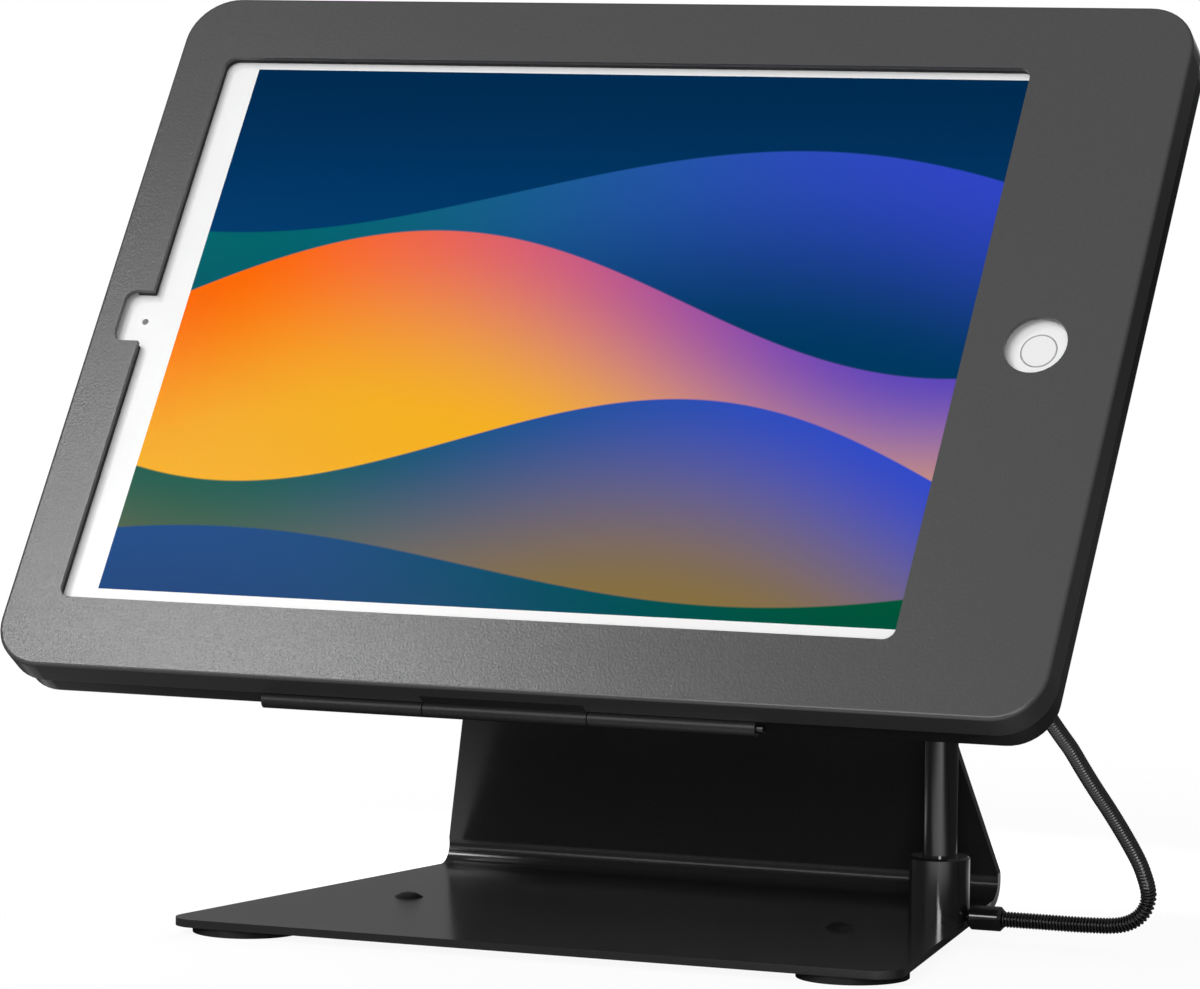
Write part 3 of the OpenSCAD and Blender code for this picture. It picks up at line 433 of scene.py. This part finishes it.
def ringed_face(name, rings, at, roughness, drift=0.08):
    """Finish whose colour changes with the distance from an axis: rings lists (radius in metres, colour)."""
    made, tree, shader, coords = start_material(name)
    reach = rings[-1][0]
    share = add_node(tree, "ShaderNodeMapRange", {"From Max": reach})
    tree.links.new(radius_on_face(tree, coords, at), share.inputs["Value"])
    ramp = add_node(tree, "ShaderNodeValToRGB")
    stops = ramp.color_ramp.elements
    while len(stops) < len(rings):
        stops.new(1.0)
    for stop, (radius, colour) in zip(stops, rings):
        stop.position = radius / reach
        stop.color = (*colour, 1.0)
    tree.links.new(share.outputs["Result"], ramp.inputs["Fac"])
    clouds = noise(tree, coords, scale=200.0)
    gloss = spread(tree, clouds, roughness, roughness + drift)
    paint(tree, shader, ramp.outputs["Color"], gloss, specular=0.35)
    return made


def display_picture():
    """Lit display: broad coloured waves stacked from the back to the front, each fading below its crest.

    Across and up run from -1 to 1. A wave covers what lies below crest = height + swing * sin(turn * across
    + phase) + slope * across; below the crest its colour fades to its deep colour over two fifths of the
    screen. About a third of the picture's light is reflected and the rest comes from the display."""
    made, tree, shader, coords = start_material("display picture")
    split = add_node(tree, "ShaderNodeSeparateXYZ")
    tree.links.new(on_face(tree, coords, FACE_AT, (*DISPLAY_HALF, 1.0)), split.inputs["Vector"])
    across, up = split.outputs["X"], split.outputs["Y"]
    picture = mix_colour(tree, smooth(tree, up, *BACK_RUN), BACK_LOW, BACK_HIGH)
    sideways = smooth(tree, across, *CREST_RUN)
    for height, swing, turn, phase, slope, left, right, deep in WAVES:
        angle = math_node(tree, "ADD", math_node(tree, "MULTIPLY", across, turn), phase)
        curve = math_node(tree, "MULTIPLY", math_node(tree, "SINE", angle, 0.0), swing)
        line = math_node(tree, "ADD", math_node(tree, "MULTIPLY", across, slope), height)
        below = math_node(tree, "SUBTRACT", math_node(tree, "ADD", curve, line), up)
        crest = mix_colour(tree, sideways, left, right)
        wave = mix_colour(tree, smooth(tree, below, *FADE_RUN), crest, deep)
        picture = mix_colour(tree, smooth(tree, below, *EDGE_RUN), picture, wave)
    reflected = add_node(tree, "ShaderNodeVectorMath", {"Scale": PRINT_SHARE}, operation="SCALE")
    tree.links.new(picture, reflected.inputs["Vector"])
    tree.links.new(reflected.outputs["Vector"], shader.inputs["Base Color"])
    tree.links.new(picture, shader.inputs["Emission Color"])
    shader.inputs["Emission Strength"].default_value = GLOW_SHARE
    shader.inputs["Roughness"].default_value = 0.12
    shader.inputs["Specular IOR Level"].default_value = 0.012
    return made


def spline(points, steps):
    """Smooth curve through points: each span is the cubic whose end slopes are half its neighbours' chord."""
    ends = np.vstack([points[:1], points, points[-1:]])
    a, b, c, d = ends[:-3, None], ends[1:-2, None], ends[2:-1, None], ends[3:, None]
    t = (np.arange(steps) / steps)[None, :, None]
    curve = 0.5 * (2 * b + (c - a) * t + (2 * a - 5 * b + 4 * c - d) * t**2 + (3 * b - a - 3 * c + d) * t**3)
    return np.vstack([curve.reshape(-1, 3), points[-1:]])


def running_sum(steps):
    """Sums of the first none, one, two and so on of a row of steps."""
    return np.concatenate([[0.0], np.cumsum(steps)])


def stations(line, runs, at):
    """Points at distances along a line, with its directions there; runs is each line point's distance."""
    points = np.stack([np.interp(at, runs, line[:, k]) for k in range(3)], axis=1)
    directions = np.gradient(points, axis=0)
    directions /= np.linalg.norm(directions, axis=1, keepdims=True)
    return points, directions


def rings_along(points, directions, radii):
    """Rings square to a path: each ring's side vector is its direction crossed with the face's slope."""
    across = np.cross(directions, FACE_UP)
    across /= np.linalg.norm(across, axis=1, keepdims=True)
    upward = np.cross(across, directions)
    angle = np.linspace(0.0, 2.0 * np.pi, SIDES_PER_RING, endpoint=False)[None, :, None]
    spokes = across[:, None] * np.cos(angle) + upward[:, None] * np.sin(angle)
    return points[:, None] + radii[:, None, None] * spokes


def looped_grid(name, rings):
    """Mesh of a grid of rings that closes both ways, so that a tube's outside runs on into its bore."""
    count, sides = rings.shape[:2]
    index = np.arange(count * sides).reshape(count, sides)
    ahead = np.roll(index, -1, axis=0)
    faces = np.stack([index, ahead, np.roll(ahead, -1, axis=1), np.roll(index, -1, axis=1)], axis=-1)
    mesh = bpy.data.meshes.new(name)
    mesh.from_pydata(rings.reshape(-1, 3).tolist(), [], faces.reshape(-1, 4).tolist())
    mesh.polygons.foreach_set("use_smooth", np.ones(len(mesh.polygons), bool))
    mesh.update()
    made = bpy.data.objects.new(name, mesh)
    bpy.context.scene.collection.objects.link(made)
    return made


def dress_node(name, material):
    """Gives a finish to one solid."""
    mesh = frame["nodes"][name].data
    mesh.materials.clear()
    mesh.materials.append(material)


def dress(slot_name, material):
    """Gives a finish to every solid whose record names that material slot."""
    for row in frame["record"]["subparts"]:
        if row["material_slot"] == slot_name:
            dress_node(row["node"], material)


class KIOSK_OT_tether(Operator):
    """Ribbed hose from the ferrule beside the base plate to the gland behind the enclosure"""
    bl_idname = "kiosk.tether"
    bl_label = "Tether"

    def execute(self, context):
        """A rib is one wave along the hose: radius = groove + depth * sin(pi * ribs passed) squared. The ribs
        passed are the sum of the steps along the hose over the pitch, which eases from the foot's to the
        head's in the bend, and the rings lie at equal shares of a rib."""
        sizes = context.scene.kiosk_sizes
        line = spline(TETHER_POINTS, STEPS_PER_SPAN)
        runs = running_sum(np.linalg.norm(np.diff(line, axis=0), axis=1))
        length = float(runs[-1])
        bend_start, bend_end = TETHER_BEND
        share = np.clip((runs - bend_start) / (bend_end - bend_start), 0.0, 1.0)
        ease = share**2 * (3.0 - 2.0 * share)
        pitch = sizes.tether_pitch_foot + (sizes.tether_pitch_head - sizes.tether_pitch_foot) * ease
        passed = running_sum(np.diff(runs) * 2.0 / (pitch[1:] + pitch[:-1]))
        ribs = round(passed[-1])
        count = ribs * RINGS_PER_RIB + 1
        at = np.interp(np.linspace(0.0, passed[-1], count), passed, runs)
        wave = np.sin(np.pi * np.arange(count) / RINGS_PER_RIB) ** 2
        radii = sizes.tether_diameter / 2 - sizes.tether_rib_depth * (1.0 - wave)
        outside = rings_along(*stations(line, runs, at), radii)
        bore_at = np.linspace(0.0, length, ribs)
        inside = rings_along(*stations(line, runs, bore_at), np.full(ribs, sizes.tether_bore))[::-1]
        hose = looped_grid("tether_hose", np.concatenate([outside, inside])[:, ::-1])
        # rib is 1 on the crowns and 0 in the grooves and the bore, where the shade is painted
        rib = hose.data.attributes.new("rib", "FLOAT", "POINT")
        rib.data.foreach_set("value", np.repeat(np.concatenate([wave, np.zeros(ribs)]), SIDES_PER_RING))
        crown = tuple(context.scene.kiosk_colours.tether)
        coating = ribbed_coat("tether coating", GROOVE_SHADE, crown, roughness=0.26, specular=0.8)
        hose.data.materials.append(coating)
        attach(hose, "stand")
        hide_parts("tether_conduit")
        return {"FINISHED"}


class KIOSK_OT_steelwork(Operator):
    """Powder coat and enamel of the bracket, the enclosure, the hinge and the post"""
    bl_idname = "kiosk.steelwork"
    bl_label = "Steelwork"

    def execute(self, context):
        colours = context.scene.kiosk_colours
        dress("graphite_powder", coated(
            "graphite powder coat", tuple(colours.cover), grain=1700.0, contrast=0.06, roughness=0.195,
            relief=0.00008, specular=0.26, sparkle=0.04))
        dress("black_powder", coated(
            "black powder coat", tuple(colours.bracket), grain=2400.0, contrast=0.12, roughness=0.17,
            relief=0.000004, specular=0.5))
        dress("gloss_black", coated(
            "gloss black enamel", tuple(colours.enamel), grain=900.0, contrast=0.15, roughness=0.14,
            relief=0.000002, specular=1.0))
        hinge = coated(
            "satin black hinge", tuple(colours.hinge), grain=2000.0, contrast=0.25, roughness=0.38,
            relief=0.00001, specular=0.3)
        for name in ("hinge_rear_leaf", "hinge_front_leaf"):
            dress_node(name, hinge)
        return {"FINISHED"}


class KIOSK_OT_hardware(Operator):
    """Plated and blackened steel of the screws, nuts, pins and the lock"""
    bl_idname = "kiosk.hardware"
    bl_label = "Hardware"

    def execute(self, context):
        dress("bright_steel", metal("zinc plate", ZINC, roughness=0.34, stretch=(1.0, 1.0, 6.0)))
        dress("dark_steel", metal("blackened steel", BLACKENED, roughness=0.36, stretch=(6.0, 1.0, 1.0)))
        dress("lock_chrome", metal("nickel plate", NICKEL, roughness=0.16, stretch=(1.0, 4.0, 4.0)))
        return {"FINISHED"}


class KIOSK_OT_rubber(Operator):
    """Rubber feet, foam pads and the plastic plugs"""
    bl_idname = "kiosk.rubber"
    bl_label = "Rubber and foam"

    def execute(self, context):
        foot_black = tuple(context.scene.kiosk_colours.rubber)
        dress("foot_rubber", rubber("foot rubber", foot_black, cell_scale=1400.0, relief=0.00005))
        dress("foam", rubber("black foam", FOAM_BLACK, cell_scale=1800.0, relief=0.00012))
        dress("plug_plastic", coated(
            "plug plastic", PLUG_BLACK, grain=1200.0, contrast=0.2, roughness=0.34, relief=0.00002))
        return {"FINISHED"}


class KIOSK_OT_tablet(Operator):
    """Tablet: white face, lit display, camera, button and metal shell"""
    bl_idname = "kiosk.tablet"
    bl_label = "Tablet"

    def execute(self, context):
        white = tuple(context.scene.kiosk_colours.face)
        dress("white_face", glossy_face("white face", white))
        dress("display", display_picture())
        dress("tablet_metal", metal(
            "blasted aluminium", ALUMINIUM, roughness=0.42, stretch=(1.0, 1.0, 1.0), scale=2600.0))
        lens_rings = [*LENS_RINGS, *((radius, white) for radius in LENS_RIM)]
        dress("lens", ringed_face("camera lens", lens_rings, LENS_AT, roughness=0.08))
        button_rings = [*((radius, white) for radius in BUTTON_MIDDLE),
                        *((radius, RING_GREY) for radius in BUTTON_RING)]
        dress_node("home_button", ringed_face("button face", button_rings, BUTTON_AT, roughness=0.12))
        return {"FINISHED"}


def add_lamp(name, at, aim, size, power):
    """Soft rectangular lamp at a point, turned to another point."""
    data = bpy.data.lights.new(name, "AREA")
    data.shape = "RECTANGLE"
    data.size, data.size_y = size
    data.energy = power
    lamp = bpy.data.objects.new(name, data)
    lamp.location = at
    lamp.rotation_euler = (Vector(aim) - Vector(at)).to_track_quat("-Z", "Y").to_euler()
    bpy.context.scene.collection.objects.link(lamp)
    return lamp


def white_share(tree, direct, mirrored):
    """Share of white that a ray shows: direct from the camera or through glass, mirrored in a reflection."""
    path = add_node(tree, "ShaderNodeLightPath")
    straight = math_node(tree, "MAXIMUM", path.outputs["Is Camera Ray"], path.outputs["Is Transmission Ray"])
    return math_node(
        tree, "MAXIMUM", math_node(tree, "MULTIPLY", straight, direct),
        math_node(tree, "MULTIPLY", path.outputs["Is Glossy Ray"], mirrored))


def show_white(tree, lit, white, share, output):
    """Puts a lit surface on the tree's output, with white in its place by a share."""
    mix = add_node(tree, "ShaderNodeMixShader")
    tree.links.new(share, mix.inputs["Fac"])
    tree.links.new(lit, mix.inputs[1])
    tree.links.new(white, mix.inputs[2])
    tree.links.new(mix.outputs["Shader"], output.inputs["Surface"])


def studio_world(sky):
    """White to the eye and in reflections that meet the white sweep, and a dim even light elsewhere.

    The sweep's share is a step on the angle off its run times a step on the height over the horizon."""
    world = bpy.data.worlds.new("studio")
    world.use_nodes = True
    tree = world.node_tree
    lit = tree.nodes["Background"]
    lit.inputs["Color"].default_value = WHITE
    lit.inputs["Strength"].default_value = sky
    direction = add_node(tree, "ShaderNodeTexCoord").outputs["Generated"]
    ahead = smooth(tree, dotted(tree, direction, SWEEP_ALONG), *SKY_AHEAD)
    height = smooth(tree, dotted(tree, direction, (0.0, 0.0, 1.0)), *SKY_HEIGHT)
    white = add_node(tree, "ShaderNodeBackground", {"Color": WHITE, "Strength": 1.0})
    share = white_share(tree, 1.0, math_node(tree, "MULTIPLY", ahead, height))
    show_white(
        tree, lit.outputs["Background"], white.outputs["Background"], share, tree.nodes["World Output"])
    bpy.context.scene.world = world


def floor_material():
    """White floor that keeps the object's shadow: plain white far out, and near the object a matt grey that
    the lamps light, lifted to white for the camera. A patch of paler paper lies close behind the object, and
    reflections see it, and a strip along the camera's line, as white."""
    made, tree, shader, coords = start_material("studio floor")
    along = dotted(tree, coords, SWEEP_ALONG)
    across = dotted(tree, coords, SWEEP_ACROSS)
    distance = length_of(tree, coords)
    patch = math_node(
        tree, "MULTIPLY", smooth(tree, along, *PATCH_FRONT), smooth(tree, distance, *PATCH_REACH))
    strip = math_node(tree, "MULTIPLY", smooth(tree, across, *STRIP_LEFT), smooth(tree, across, *STRIP_RIGHT))
    ends = math_node(tree, "MAXIMUM", smooth(tree, along, *STRIP_NEAR), smooth(tree, along, *STRIP_FAR))
    mirrored = math_node(tree, "MAXIMUM", math_node(tree, "MULTIPLY", strip, ends), patch)
    tree.links.new(mix_colour(tree, patch, FLOOR_GREY, PATCH_PAPER), shader.inputs["Base Color"])
    shader.inputs["Roughness"].default_value = 0.9
    shader.inputs["Specular IOR Level"].default_value = 0.0
    shader.inputs["Emission Color"].default_value = WHITE
    path = add_node(tree, "ShaderNodeLightPath")
    lift = math_node(tree, "MULTIPLY", path.outputs["Is Camera Ray"], CAMERA_LIFT)
    tree.links.new(lift, shader.inputs["Emission Strength"])
    white = add_node(tree, "ShaderNodeEmission", {"Color": WHITE, "Strength": 1.0})
    share = white_share(tree, smooth(tree, distance, *PLAIN_WHITE), mirrored)
    show_white(
        tree, shader.outputs["BSDF"], white.outputs["Emission"], share, tree.nodes["Material Output"])
    return made


class KIOSK_OT_stage(Operator):
    """White floor, soft studio light and the camera"""
    bl_idname = "kiosk.stage"
    bl_label = "Stage"

    def execute(self, context):
        studio = context.scene.kiosk_studio
        corners = FLOOR_REACH * np.array([[-1, -1, 0], [1, -1, 0], [1, 1, 0], [-1, 1, 0]])
        mesh = bpy.data.meshes.new("studio_floor")
        mesh.from_pydata(corners.tolist(), [], [(0, 1, 2, 3)])
        mesh.materials.append(floor_material())
        floor = bpy.data.objects.new("studio_floor", mesh)
        context.scene.collection.objects.link(floor)
        studio_world(studio.sky)
        lamps = {name: add_lamp(name, *places, getattr(studio, name)) for name, places in LAMPS.items()}
        # The rear lamp lights the back, and the base plate doesn't mirror it
        lamps["rear"].visible_glossy = False
        data = bpy.data.cameras.new("camera")
        data.sensor_fit = "HORIZONTAL"
        data.sensor_width = CAMERA_WIDTH
        data.lens = CAMERA_LENS
        camera = bpy.data.objects.new("camera", data)
        axes = Matrix((CAMERA_RIGHT, CAMERA_UP, CAMERA_BACK)).transposed().to_4x4()
        camera.matrix_world = Matrix.Translation(CAMERA_AT) @ axes
        context.scene.collection.objects.link(camera)
        context.scene.camera = camera
        context.scene.view_settings.view_transform = "Standard"
        return {"FINISHED"}


OPERATORS = (KIOSK_OT_stage, KIOSK_OT_steelwork, KIOSK_OT_tether, KIOSK_OT_hardware, KIOSK_OT_rubber,
             KIOSK_OT_tablet)


class KIOSK_PT_panel(Panel):
    """Lists the kiosk's operators and the sizes, colours and light that they use"""
    bl_idname = "KIOSK_PT_panel"
    bl_label = "Tablet Kiosk Stand"
    bl_space_type = "VIEW_3D"
    bl_region_type = "UI"
    bl_category = "Kiosk"

    def draw(self, context):
        for operator in OPERATORS:
            self.layout.operator(operator.bl_idname)
        for group in (context.scene.kiosk_sizes, context.scene.kiosk_colours, context.scene.kiosk_studio):
            for name in group.__annotations__:
                self.layout.prop(group, name)


CLASSES = (KioskSizes, KioskColours, KioskStudio, *OPERATORS, KIOSK_PT_panel)


def register():
    for made in CLASSES:
        bpy.utils.register_class(made)
    Scene.kiosk_sizes = PointerProperty(type=KioskSizes)
    Scene.kiosk_colours = PointerProperty(type=KioskColours)
    Scene.kiosk_studio = PointerProperty(type=KioskStudio)


def unregister():
    del Scene.kiosk_studio
    del Scene.kiosk_colours
    del Scene.kiosk_sizes
    for made in reversed(CLASSES):
        bpy.utils.unregister_class(made)


def main():
    """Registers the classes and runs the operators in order."""
    register()
    bpy.ops.kiosk.stage()
    bpy.ops.kiosk.steelwork()
    bpy.ops.kiosk.tether()
    bpy.ops.kiosk.hardware()
    bpy.ops.kiosk.rubber()
    bpy.ops.kiosk.tablet()


if __name__ == "__main__":
    main()
